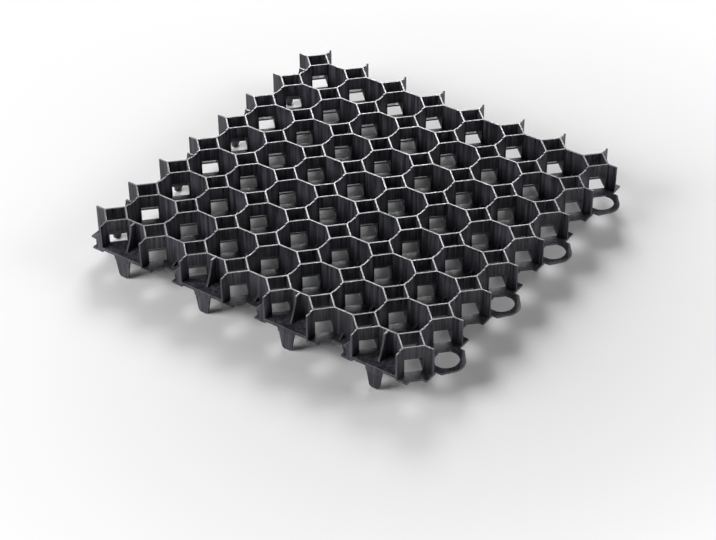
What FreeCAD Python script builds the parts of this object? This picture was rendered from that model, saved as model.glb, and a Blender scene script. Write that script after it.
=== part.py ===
import FreeCAD, Part
import math
import os

from FreeCAD import Vector

# Plan: small square cells turned by 45 degrees and octagon cells between them.
# The model is drawn round the middle of the lattice with the underside of the floors at z = 0,
# and moved at the end so that the origin lies under the middle of the whole part.
cells = 8                    # square cells along one side
pitch = 62.5                 # from one square cell to the next
height = 40.0                # from the underside of the floors to the top of the walls
wall = 2.2                   # thickness of every cell wall

floor_thick = 2.5            # floor of an octagon cell
drain_across = 33.0          # octagonal opening in that floor, across its flats

window_width = 21.5          # opening in each wall between a square cell and an octagon cell
window_top = 22.5            # height of its upper edge above the underside

dip_depth = 1.2              # the walls along Y are a little lower between their ends
dip_end = 6.0                # full-height length left at a square cell
dip_tip = 2.5                # full-height length left at the free tip of a stub on the +Y side

toe_height = 5.0             # small gusset where a wall along X meets the floor
toe_length = 9.0
toe_thick = 2.0

ring_outer = 42.0            # round end of a coupling ring, centred on the side of the grid
ring_opening = 13.0          # how far the drain beside it runs out into the ring, in a round end
ring_thick = 2.5
ring_root_width = 51.0       # squared root of the ring where it leaves the grid
ring_root_reach = 7.0

raised_under = 3.0           # underside of the raised floor that lies on a neighbour's ring
raised_top = 7.0

peg_top_width = 24.0         # coupling peg below a raised floor
peg_tip_width = 13.0
peg_thick = 3.0
peg_drop = 27.0              # how far the tip hangs below the underside of the grid
peg_corner = 2.5             # bevel of the tip's two corners
collar_height = 6.0          # upper part of the peg that stands proud
collar_proud = 1.0

fin_top = 8.0                # fin behind a peg: reach from the wall at its top and at the floor
fin_foot = 20.0
fin_thick = 2.5
fin_bow = 1.5                # hollow of its sloping front edge

spike_root = 30.0            # spike plate on a stub: top edge at the stub, then the tip
spike_tip_height = 19.0
spike_tip_reach = 11.0
spike_shank_height = 14.5
spike_shank_reach = 6.5
spike_thick = 2.5

half = cells * pitch / 2
diagonal = math.sqrt(0.5)
square_reach = pitch * (1 - diagonal)    # centre of a square cell to its corner, on the wall middle
overlap = wall / 4                       # how far a piece is let into a wall it joins
up = Vector(0, 0, 1)


def node(index):
    """Coordinate of a square cell's centre; a half index gives an octagon cell's."""
    return (index - (cells - 1) / 2) * pitch


def plate(points, bottom, top):
    """Upright prism over a polygon of (x, y) points."""
    corners = [Vector(x, y, bottom) for x, y in points]
    face = Part.Face(Part.makePolygon(corners + corners[:1]))
    return face.extrude(up * (top - bottom))


def octagon(x, y, across):
    """Corner points of a regular octagon with its flats square to the axes."""
    a = across / 2
    b = a * math.tan(math.pi / 8)
    corners = [(a, -b), (a, b), (b, a), (-b, a), (-a, b), (-a, -b), (-b, -a), (b, -a)]
    return [(x + u, y + v) for u, v in corners]


def turned_square(x, y, reach):
    return [(x + reach, y), (x, y + reach), (x - reach, y), (x, y - reach)]


def box(x0, x1, y0, y1, z0, z1):
    return Part.makeBox(x1 - x0, y1 - y0, z1 - z0, Vector(x0, y0, z0))


def is_coupling(index):
    """Every other half octagon along a side, counted from its first, carries a peg or a ring."""
    return index % 2 == 0


def is_peg_cell(i, j):
    """Half octagon (i, j) on one of the two peg sides, -X and -Y."""
    along_x_side = i == -1 and 0 <= j < cells - 1 and is_coupling(j)
    along_y_side = j == -1 and 0 <= i < cells - 1 and is_coupling(i)
    return along_x_side or along_y_side


def wall_network():
    """All walls at full height: the square plan with every cell taken out."""
    block = box(-half, half, -half, half, 0, height)
    inner = square_reach - wall / 2 / diagonal
    holes = [plate(turned_square(node(i), node(j), inner), 0, height)
             for i in range(cells) for j in range(cells)]
    holes += [plate(octagon(node(i + 0.5), node(j + 0.5), pitch - wall), 0, height)
              for i in range(-1, cells) for j in range(-1, cells)]
    return block.cut(Part.makeCompound(holes))


def windows():
    """Openings in the four walls of every square cell, down to the floor beside them."""
    cutters = []
    middle = square_reach / 2
    for i in range(cells):
        for j in range(cells):
            for sx, sy in ((1, 1), (-1, 1), (-1, -1), (1, -1)):
                beyond = (i if sx > 0 else i - 1, j if sy > 0 else j - 1)
                sill = raised_top if is_peg_cell(*beyond) else floor_thick
                cutter = box(-window_width / 2, window_width / 2, -wall, wall, sill, window_top)
                cutter.rotate(Vector(0, 0, 0), up, -45 if sx == sy else 45)
                cutter.translate(Vector(node(i) + sx * middle, node(j) + sy * middle, 0))
                cutters.append(cutter)
    return cutters


def dips():
    """Shallow lowering of the walls along Y and of the stubs that end them."""
    start = square_reach + dip_end
    spans = [(node(j) + start, node(j + 1) - start) for j in range(cells - 1)]
    spans += [(-half, node(0) - start), (node(cells - 1) + start, half - dip_tip)]
    return [box(node(i) - wall, node(i) + wall, low, high, height - dip_depth, height + dip_depth)
            for i in range(cells) for low, high in spans]


def floors():
    """Floor plates with their drains; peg cells get the raised floor instead."""
    plates = []
    plan = box(-half, half, -half, half, 0, height)
    for i in range(-1, cells):
        for j in range(-1, cells):
            x, y = node(i + 0.5), node(j + 0.5)
            outline = octagon(x, y, pitch - wall + 2 * overlap)
            if is_peg_cell(i, j):
                piece = plate(outline, raised_under, raised_top)
            else:
                drain = plate(octagon(x, y, drain_across), 0, floor_thick)
                piece = plate(outline, 0, floor_thick).cut(drain)
            plates.append(piece.common(plan))
    return plates


def ring():
    """Coupling ring that leaves the +X side at the origin: a squared root that narrows to a round end."""
    r = ring_outer / 2
    root = ring_root_width / 2
    touch = r * diagonal
    upper = [Vector(0, drain_across / 2, 0), Vector(0, root, 0), Vector(ring_root_reach, root, 0),
             Vector(touch, touch, 0)]
    lower = [Vector(p.x, -p.y, 0) for p in reversed(upper)]
    outside = Part.Arc(upper[-1], Vector(r, 0, 0), lower[0]).toShape()
    inside = Part.Arc(lower[-1], Vector(ring_opening, 0, 0), upper[0]).toShape()
    sides = Part.makePolygon(upper).Edges + [outside] + Part.makePolygon(lower).Edges + [inside]
    return Part.Face(Part.Wire(sides)).extrude(up * ring_thick)


def upright(points, thick):
    """Plate standing in the XZ plane over a polygon of (x, z) points, its middle at y = 0."""
    corners = [Vector(x, -thick / 2, z) for x, z in points]
    face = Part.Face(Part.makePolygon(corners + corners[:1]))
    return face.extrude(Vector(0, thick, 0))


def peg():
    """Peg under the edge of the raised floor at the -Y side, its outer face in the side plane y = 0."""
    top = raised_under + overlap
    w, t = peg_top_width / 2, peg_tip_width / 2
    slope = (w - t) / (top + peg_drop)
    b = t + slope * peg_corner
    blade = upright([(-w, top), (w, top), (b, peg_corner - peg_drop), (t - peg_corner, -peg_drop),
                     (peg_corner - t, -peg_drop), (-b, peg_corner - peg_drop)], peg_thick)
    collar_end = raised_under - collar_height
    c = w - slope * (top - collar_end)
    collar = upright([(-w, top), (w, top), (c, collar_end), (-c, collar_end)], peg_thick + collar_proud)
    collar.translate(Vector(0, (peg_thick + collar_proud) / 2, 0))
    blade.translate(Vector(0, peg_thick / 2 + collar_proud, 0))
    return blade.fuse(collar)


def fin():
    """Fin on the wall behind a peg cell, standing in the plane x = 0 with the wall middle at y = 0."""
    back = wall / 2 - overlap
    foot = raised_top - overlap
    high = Vector(0, -wall / 2 - fin_top, height)
    low = Vector(0, -wall / 2 - fin_foot, foot)
    bow = (high + low) * 0.5 + Vector(0, fin_bow, -fin_bow)
    front = Part.Arc(high, bow, low).toShape()
    sides = [Part.makeLine(low, Vector(0, -back, foot)),
             Part.makeLine(Vector(0, -back, foot), Vector(0, -back, height)),
             Part.makeLine(Vector(0, -back, height), high)]
    blade = Part.Face(Part.Wire([front] + sides)).extrude(Vector(fin_thick, 0, 0))
    blade.translate(Vector(-fin_thick / 2, 0, 0))
    return blade


def spike():
    """Spike plate in the side plane on the -X flank of a stub, with the stub's middle at x = 0."""
    root = -wall / 2 + overlap
    points = [(root, spike_root), (-spike_tip_reach, spike_tip_height),
              (-spike_tip_reach, spike_tip_height - wall / 2),
              (-spike_shank_reach, spike_shank_height), (-spike_shank_reach, floor_thick - overlap),
              (root, floor_thick - overlap)]
    blade = upright(points, spike_thick)
    blade.translate(Vector(0, spike_thick / 2, 0))
    return blade


def toe():
    """Three-cornered gusset at the foot of a wall along X, on its -Y face, with the wall middle at y = 0."""
    root = -wall / 2 + overlap
    foot = floor_thick - overlap
    corners = [Vector(0, root, foot), Vector(0, -wall / 2 - toe_length, foot),
               Vector(0, -wall / 2 - toe_length, floor_thick),
               Vector(0, -wall / 2, floor_thick + toe_height), Vector(0, root, floor_thick + toe_height)]
    blade = Part.Face(Part.makePolygon(corners + corners[:1])).extrude(Vector(toe_thick, 0, 0))
    blade.translate(Vector(-toe_thick / 2, 0, 0))
    return blade


def placed(shape, x, y, mirrored=False):
    """Copy of a shape at (x, y); mirrored swaps X and Y, which carries it to the neighbouring side."""
    copy = shape.copy()
    if mirrored:
        copy = copy.mirror(Vector(0, 0, 0), Vector(1, -1, 0))
    copy.translate(Vector(x, y, 0))
    return copy


def couplings():
    """Pegs with their fins on the -X and -Y sides, rings on the +X and +Y sides."""
    pieces = []
    one_peg, one_fin, one_ring = peg(), fin(), ring()
    for k in range(cells - 1):
        if not is_coupling(k):
            continue
        along = node(k + 0.5)
        for mirrored in (False, True):
            for shape, depth in ((one_peg, -half), (one_fin, node(0))):
                x, y = (depth, along) if mirrored else (along, depth)
                pieces.append(placed(shape, x, y, mirrored))
            x, y = (along, half) if mirrored else (half, along)
            pieces.append(placed(one_ring, x, y, mirrored))
    return pieces


def small_ribs():
    """Toe gussets inside the grid and spike plates on every other stub of the -Y side."""
    pieces = []
    one_toe, one_spike = toe(), spike()
    for j in range(cells):
        for i in range(cells - 1):
            if not is_peg_cell(i, j - 1):
                pieces.append(placed(one_toe, node(i + 0.5), node(j)))
    for i in range(0, cells, 2):
        pieces.append(placed(one_spike, node(i), -half))
    return pieces


grid = wall_network()
grid = grid.cut(Part.makeCompound(windows() + dips()))
grid = grid.fuse(floors() + couplings() + small_ribs())
grid = grid.removeSplitter()
if grid.ShapeType == "Compound" and len(grid.Solids) == 1:
    grid = grid.Solids[0]

middle_shift = -ring_outer / 4
grid.translate(Vector(middle_shift, middle_shift, peg_drop))

os.makedirs("parts", exist_ok=True)
grid.exportStep("parts/paver_grid.step")
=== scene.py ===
import math

import bmesh
import bpy
from mathutils import Matrix, Vector


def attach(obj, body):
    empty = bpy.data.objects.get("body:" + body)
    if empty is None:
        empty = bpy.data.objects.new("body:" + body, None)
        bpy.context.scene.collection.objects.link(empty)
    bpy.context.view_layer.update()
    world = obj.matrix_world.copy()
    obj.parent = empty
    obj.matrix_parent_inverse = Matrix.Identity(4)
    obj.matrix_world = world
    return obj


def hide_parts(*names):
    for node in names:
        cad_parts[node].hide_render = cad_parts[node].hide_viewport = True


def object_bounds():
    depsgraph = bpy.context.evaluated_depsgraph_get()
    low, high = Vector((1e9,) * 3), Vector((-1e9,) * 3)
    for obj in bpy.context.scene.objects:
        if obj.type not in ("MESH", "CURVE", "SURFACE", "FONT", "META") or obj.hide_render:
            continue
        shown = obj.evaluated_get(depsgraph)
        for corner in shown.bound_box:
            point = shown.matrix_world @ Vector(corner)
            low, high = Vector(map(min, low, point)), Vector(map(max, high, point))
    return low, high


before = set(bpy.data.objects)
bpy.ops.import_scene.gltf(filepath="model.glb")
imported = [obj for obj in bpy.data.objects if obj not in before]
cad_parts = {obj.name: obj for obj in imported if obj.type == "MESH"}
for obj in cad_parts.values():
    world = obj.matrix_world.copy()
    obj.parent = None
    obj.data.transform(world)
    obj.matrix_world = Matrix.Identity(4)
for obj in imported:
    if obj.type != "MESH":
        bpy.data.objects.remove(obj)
cad_low, cad_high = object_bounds()

MM = 0.001

# Moulded edges
WELD = 0.001 * MM
EDGE_ROUND = 0.35 * MM
EDGE_STEPS = 2
FLAT_ANGLE = math.radians(1.0)
SHARP_ANGLE = math.radians(25.0)

# Faces painted pale, partly as wear and partly as a painted highlight: rounded outer edges, and level
# faces near the top
RIM = "rim"
WEAR_AND_HIGHLIGHT_DEPTH = 3.0 * MM
LEVEL = 0.9                  # least upward part of a level face's normal

# Camera of the photograph, in the part's frame
PHOTO_WIDTH = 716
FOCAL_PIXELS = 1963.5
SENSOR = 36.0
CLIP_NEAR = 0.05
CLIP_FAR = 50.0
CAMERA_PLACE = Vector((1.1309, -1.6917, 1.5047))
CAMERA_RIGHT = Vector((0.8276, 0.5613, -0.0026))
CAMERA_UP = Vector((-0.3418, 0.5075, 0.7910))

# Plastic, in linear colour; it is smoother in a band below the top
PLASTIC_DARK = (0.022, 0.022, 0.027, 1.0)
PLASTIC_LIGHT = (0.100, 0.100, 0.125, 1.0)
# Pale colour of rims and level tops: partly wear, partly a painted highlight
PLASTIC_WEAR_AND_HIGHLIGHT = (0.180, 0.180, 0.188, 1.0)
PLASTIC_IOR = 1.5
ROUGH_TOP = 0.33
ROUGH_BELOW = 0.52
POLISHED = 20.0 * MM

# Noise in the plastic: scale per metre, and detail
CLOUD_SCALE = 26.0
CLOUD_DETAIL = 4.0
STREAK_SCALE = 330.0
STREAK_DETAIL = 3.0
STREAK_UPRIGHT = 0.04        # a small share of the scale, so that the streaks run up the walls
GRAIN_SCALE = 2600.0
GRAIN_DETAIL = 2.0

# What the noise does: the span of values that counts, and how much it gives
CLOUD_SPAN = (0.30, 0.70)
CLOUD_SHARE = 0.3
STREAK_SPAN = (0.36, 0.64)
STREAK_SHARE = 0.7
TONE_SPAN = (0.30, 1.00)
# How the pale rims and tops vary with the clouds: partly wear, partly a painted highlight
WEAR_AND_HIGHLIGHT_SPAN = (0.30, 0.65)
WEAR_AND_HIGHLIGHT_LEAST = 0.35
GLOSS_SPAN = (0.35, 0.65)
GLOSS_SPREAD = 0.12
GRAIN_RELIEF = 0.03
BUMP_STRENGTH = 0.7
BUMP_HEIGHT = 0.2 * MM

# Floor, which turns plain white with the distance from the part
FLOOR_SIZE = 12.0
FLOOR_GAP = 0.2 * MM
FLOOR_COLOUR = (0.93, 0.93, 0.93, 1.0)
FLOOR_FADE = (0.33, 0.70)

# World: brighter round the horizon than overhead
WORLD_BAND = 0.10
WORLD_TOP = 0.02
WORLD_FADE = (0.50, 0.65)

# Softboxes: where they stand, then width, height and watts
BACK_REACH = 2.1
BACK_RISE = 1.4
BACK_BOX = (0.9, 0.7, 40.0)
LEFT_PLACE = Vector((-1.15, -1.4, 1.1))
LEFT_BOX = (1.2, 1.0, 32.0)
RIGHT_PLACE = Vector((1.8, 0.9, 1.1))
RIGHT_BOX = (1.2, 0.8, 20.0)


def rounded_copy(node, name):
    """New piece with a CAD node's shape and its edges rounded; RIM marks the faces painted pale,
    partly as wear and partly as a painted highlight.
    """
    bm = bmesh.new()
    bm.from_mesh(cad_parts[node].data)
    rim = bm.faces.layers.float.new(RIM)
    bmesh.ops.remove_doubles(bm, verts=bm.verts, dist=WELD)
    bmesh.ops.dissolve_limit(bm, angle_limit=FLAT_ANGLE, verts=bm.verts, edges=bm.edges)
    corners = [e for e in bm.edges if e.is_manifold and e.calc_face_angle() > SHARP_ANGLE]
    made = bmesh.ops.bevel(bm, geom=corners, offset=EDGE_ROUND, offset_type="OFFSET",
                           segments=EDGE_STEPS, profile=0.5, affect="EDGES", clamp_overlap=False)
    bm.normal_update()
    # Convex rounded edges are painted pale: wear, and a painted highlight where the light catches them
    for face in made["faces"]:
        turn = sum(e.calc_face_angle_signed(0.0) for e in face.edges)
        face[rim] = 1.0 if turn > 0 else 0.0
    # Level faces at the very top are painted pale too: a painted highlight of the light they reflect,
    # with some wear
    for face in bm.faces:
        if face.normal.z > LEVEL and face.calc_center_median().z > cad_high.z - WEAR_AND_HIGHLIGHT_DEPTH:
            face[rim] = 1.0
    mesh = bpy.data.meshes.new(name)
    bm.to_mesh(mesh)
    bm.free()
    mesh.shade_smooth()
    piece = bpy.data.objects.new(name, mesh)
    bpy.context.scene.collection.objects.link(piece)
    soft = piece.modifiers.new("even_normals", "WEIGHTED_NORMAL")
    soft.keep_sharp = True
    return piece


def black_plastic():
    """Satin black moulded plastic: upright flow streaks, fine grain, pale edges and tops that are
    partly wear and partly a painted highlight, polished top.
    """
    material = bpy.data.materials.new("black_plastic")
    material.use_nodes = True
    tree = material.node_tree
    shader = tree.nodes["Principled BSDF"]
    shader.inputs["IOR"].default_value = PLASTIC_IOR

    place = tree.nodes.new("ShaderNodeTexCoord")
    clouds = noise(tree, place, (1, 1, 1), CLOUD_SCALE, CLOUD_DETAIL)
    streaks = noise(tree, place, (1, 1, STREAK_UPRIGHT), STREAK_SCALE, STREAK_DETAIL)
    grain = noise(tree, place, (1, 1, 1), GRAIN_SCALE, GRAIN_DETAIL)
    split = tree.nodes.new("ShaderNodeSeparateXYZ")
    tree.links.new(place.outputs["Object"], split.inputs["Vector"])

    mottle = math_node(tree, "ADD", spread(tree, clouds, CLOUD_SPAN, 0.0, CLOUD_SHARE),
                       spread(tree, streaks, STREAK_SPAN, 0.0, STREAK_SHARE))
    tone = colour_ramp(tree, mottle, TONE_SPAN, PLASTIC_DARK, PLASTIC_LIGHT)
    # Pale rims and tops mixed into the colour: partly wear, partly a painted highlight
    rim = tree.nodes.new("ShaderNodeAttribute")
    rim.attribute_name = RIM
    wear_and_highlight = math_node(tree, "MULTIPLY", rim.outputs["Fac"],
                     spread(tree, clouds, WEAR_AND_HIGHLIGHT_SPAN, WEAR_AND_HIGHLIGHT_LEAST, 1.0))
    colour = tree.nodes.new("ShaderNodeMix")
    colour.data_type = "RGBA"
    tree.links.new(wear_and_highlight, colour.inputs["Factor"])
    tree.links.new(tone, colour.inputs["A"])
    colour.inputs["B"].default_value = PLASTIC_WEAR_AND_HIGHLIGHT
    tree.links.new(colour.outputs["Result"], shader.inputs["Base Color"])

    polished = (cad_high.z - POLISHED, cad_high.z)
    polish = spread(tree, split.outputs["Z"], polished, ROUGH_BELOW, ROUGH_TOP)
    gloss = spread(tree, streaks, GLOSS_SPAN, -GLOSS_SPREAD, GLOSS_SPREAD)
    tree.links.new(math_node(tree, "ADD", polish, gloss), shader.inputs["Roughness"])

    relief = math_node(tree, "ADD", streaks, spread(tree, grain, (0.0, 1.0), 0.0, GRAIN_RELIEF))
    bump = tree.nodes.new("ShaderNodeBump")
    bump.inputs["Strength"].default_value = BUMP_STRENGTH
    bump.inputs["Distance"].default_value = BUMP_HEIGHT
    tree.links.new(relief, bump.inputs["Height"])
    tree.links.new(bump.outputs["Normal"], shader.inputs["Normal"])
    return material


def noise(tree, place, stretch, scale, detail):
    """Noise in the part's own metres; a small stretch value draws it out along that axis."""
    mapping = tree.nodes.new("ShaderNodeMapping")
    mapping.inputs["Scale"].default_value = stretch
    tree.links.new(place.outputs["Object"], mapping.inputs["Vector"])
    texture = tree.nodes.new("ShaderNodeTexNoise")
    texture.inputs["Scale"].default_value = scale
    texture.inputs["Detail"].default_value = detail
    tree.links.new(mapping.outputs["Vector"], texture.inputs["Vector"])
    return texture.outputs["Fac"]


def colour_ramp(tree, value, span, low_colour, high_colour):
    """Colour that goes from the low one to the high one while the value crosses the span."""
    node = tree.nodes.new("ShaderNodeValToRGB")
    first, last = node.color_ramp.elements
    first.position, last.position = span
    first.color = low_colour
    last.color = high_colour
    tree.links.new(value, node.inputs["Fac"])
    return node.outputs["Color"]


def spread(tree, value, span, low, high):
    """Number that goes from low to high while the value crosses the span."""
    node = tree.nodes.new("ShaderNodeMapRange")
    node.inputs["From Min"].default_value, node.inputs["From Max"].default_value = span
    node.inputs["To Min"].default_value = low
    node.inputs["To Max"].default_value = high
    tree.links.new(value, node.inputs["Value"])
    return node.outputs["Result"]


def math_node(tree, operation, first, second):
    node = tree.nodes.new("ShaderNodeMath")
    node.operation = operation
    tree.links.new(first, node.inputs[0])
    tree.links.new(second, node.inputs[1])
    return node.outputs["Value"]


def pale_floor():
    """White studio floor: it keeps the soft shadow near the part and runs out to plain white."""
    bpy.ops.mesh.primitive_plane_add(size=FLOOR_SIZE, location=(0, 0, cad_low.z - FLOOR_GAP))
    floor = bpy.context.object
    floor.name = "studio_floor"
    material = bpy.data.materials.new("studio_floor")
    material.use_nodes = True
    tree = material.node_tree
    shader = tree.nodes["Principled BSDF"]
    shader.inputs["Base Color"].default_value = FLOOR_COLOUR
    shader.inputs["Roughness"].default_value = 1.0
    shader.inputs["Specular IOR Level"].default_value = 0.0

    white = tree.nodes.new("ShaderNodeEmission")
    place = tree.nodes.new("ShaderNodeTexCoord")
    distance = tree.nodes.new("ShaderNodeVectorMath")
    distance.operation = "LENGTH"
    tree.links.new(place.outputs["Object"], distance.inputs[0])
    far = spread(tree, distance.outputs["Value"], FLOOR_FADE, 0.0, 1.0)
    path = tree.nodes.new("ShaderNodeLightPath")
    seen = math_node(tree, "MAXIMUM", path.outputs["Is Camera Ray"], path.outputs["Is Glossy Ray"])
    seen = math_node(tree, "MAXIMUM", seen, path.outputs["Is Transmission Ray"])
    mix = tree.nodes.new("ShaderNodeMixShader")
    tree.links.new(math_node(tree, "MULTIPLY", far, seen), mix.inputs["Fac"])
    tree.links.new(shader.outputs["BSDF"], mix.inputs[1])
    tree.links.new(white.outputs["Emission"], mix.inputs[2])
    tree.links.new(mix.outputs["Shader"], tree.nodes["Material Output"].inputs["Surface"])
    floor.data.materials.append(material)


def softbox(name, place, width, height, watts):
    """Rectangular area light that faces the origin."""
    data = bpy.data.lights.new(name, "AREA")
    data.shape = "RECTANGLE"
    data.size = width
    data.size_y = height
    data.energy = watts
    lamp = bpy.data.objects.new(name, data)
    lamp.location = place
    lamp.rotation_euler = (-place).to_track_quat("-Z", "Y").to_euler()
    bpy.context.scene.collection.objects.link(lamp)


def studio():
    """Dim world, and soft light from behind and from both sides."""
    world = bpy.data.worlds.new("studio")
    bpy.context.scene.world = world
    world.use_nodes = True
    tree = world.node_tree
    background = tree.nodes["Background"]
    background.inputs["Color"].default_value = (1, 1, 1, 1)
    place = tree.nodes.new("ShaderNodeTexCoord")
    split = tree.nodes.new("ShaderNodeSeparateXYZ")
    tree.links.new(place.outputs["Generated"], split.inputs["Vector"])
    level = spread(tree, split.outputs["Z"], WORLD_FADE, WORLD_BAND, WORLD_TOP)
    tree.links.new(level, background.inputs["Strength"])

    right = CAMERA_RIGHT.normalized()
    behind = Vector((-right.y, right.x, 0))
    above = Vector((0, 0, 1))
    softbox("back_softbox", behind * BACK_REACH + above * BACK_RISE, *BACK_BOX)
    softbox("left_softbox", LEFT_PLACE, *LEFT_BOX)
    softbox("right_softbox", RIGHT_PLACE, *RIGHT_BOX)


def camera():
    """Camera of the photograph; its up axis is squared to its right axis."""
    data = bpy.data.cameras.new("photo_camera")
    data.sensor_width = SENSOR
    data.lens = SENSOR * FOCAL_PIXELS / PHOTO_WIDTH
    data.clip_start = CLIP_NEAR
    data.clip_end = CLIP_FAR
    cam = bpy.data.objects.new("photo_camera", data)
    bpy.context.scene.collection.objects.link(cam)
    right = CAMERA_RIGHT.normalized()
    up = (CAMERA_UP - right * CAMERA_UP.dot(right)).normalized()
    back = right.cross(up)
    turn = Matrix((right, up, back)).transposed().to_4x4()
    cam.matrix_world = Matrix.Translation(CAMERA_PLACE) @ turn
    bpy.context.scene.camera = cam


bpy.context.scene.view_settings.view_transform = "Standard"
grid = rounded_copy("paver_grid", "paver_grid_moulded")
grid.data.materials.append(black_plastic())
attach(grid, "root")
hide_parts("paver_grid")
pale_floor()
studio()
camera()
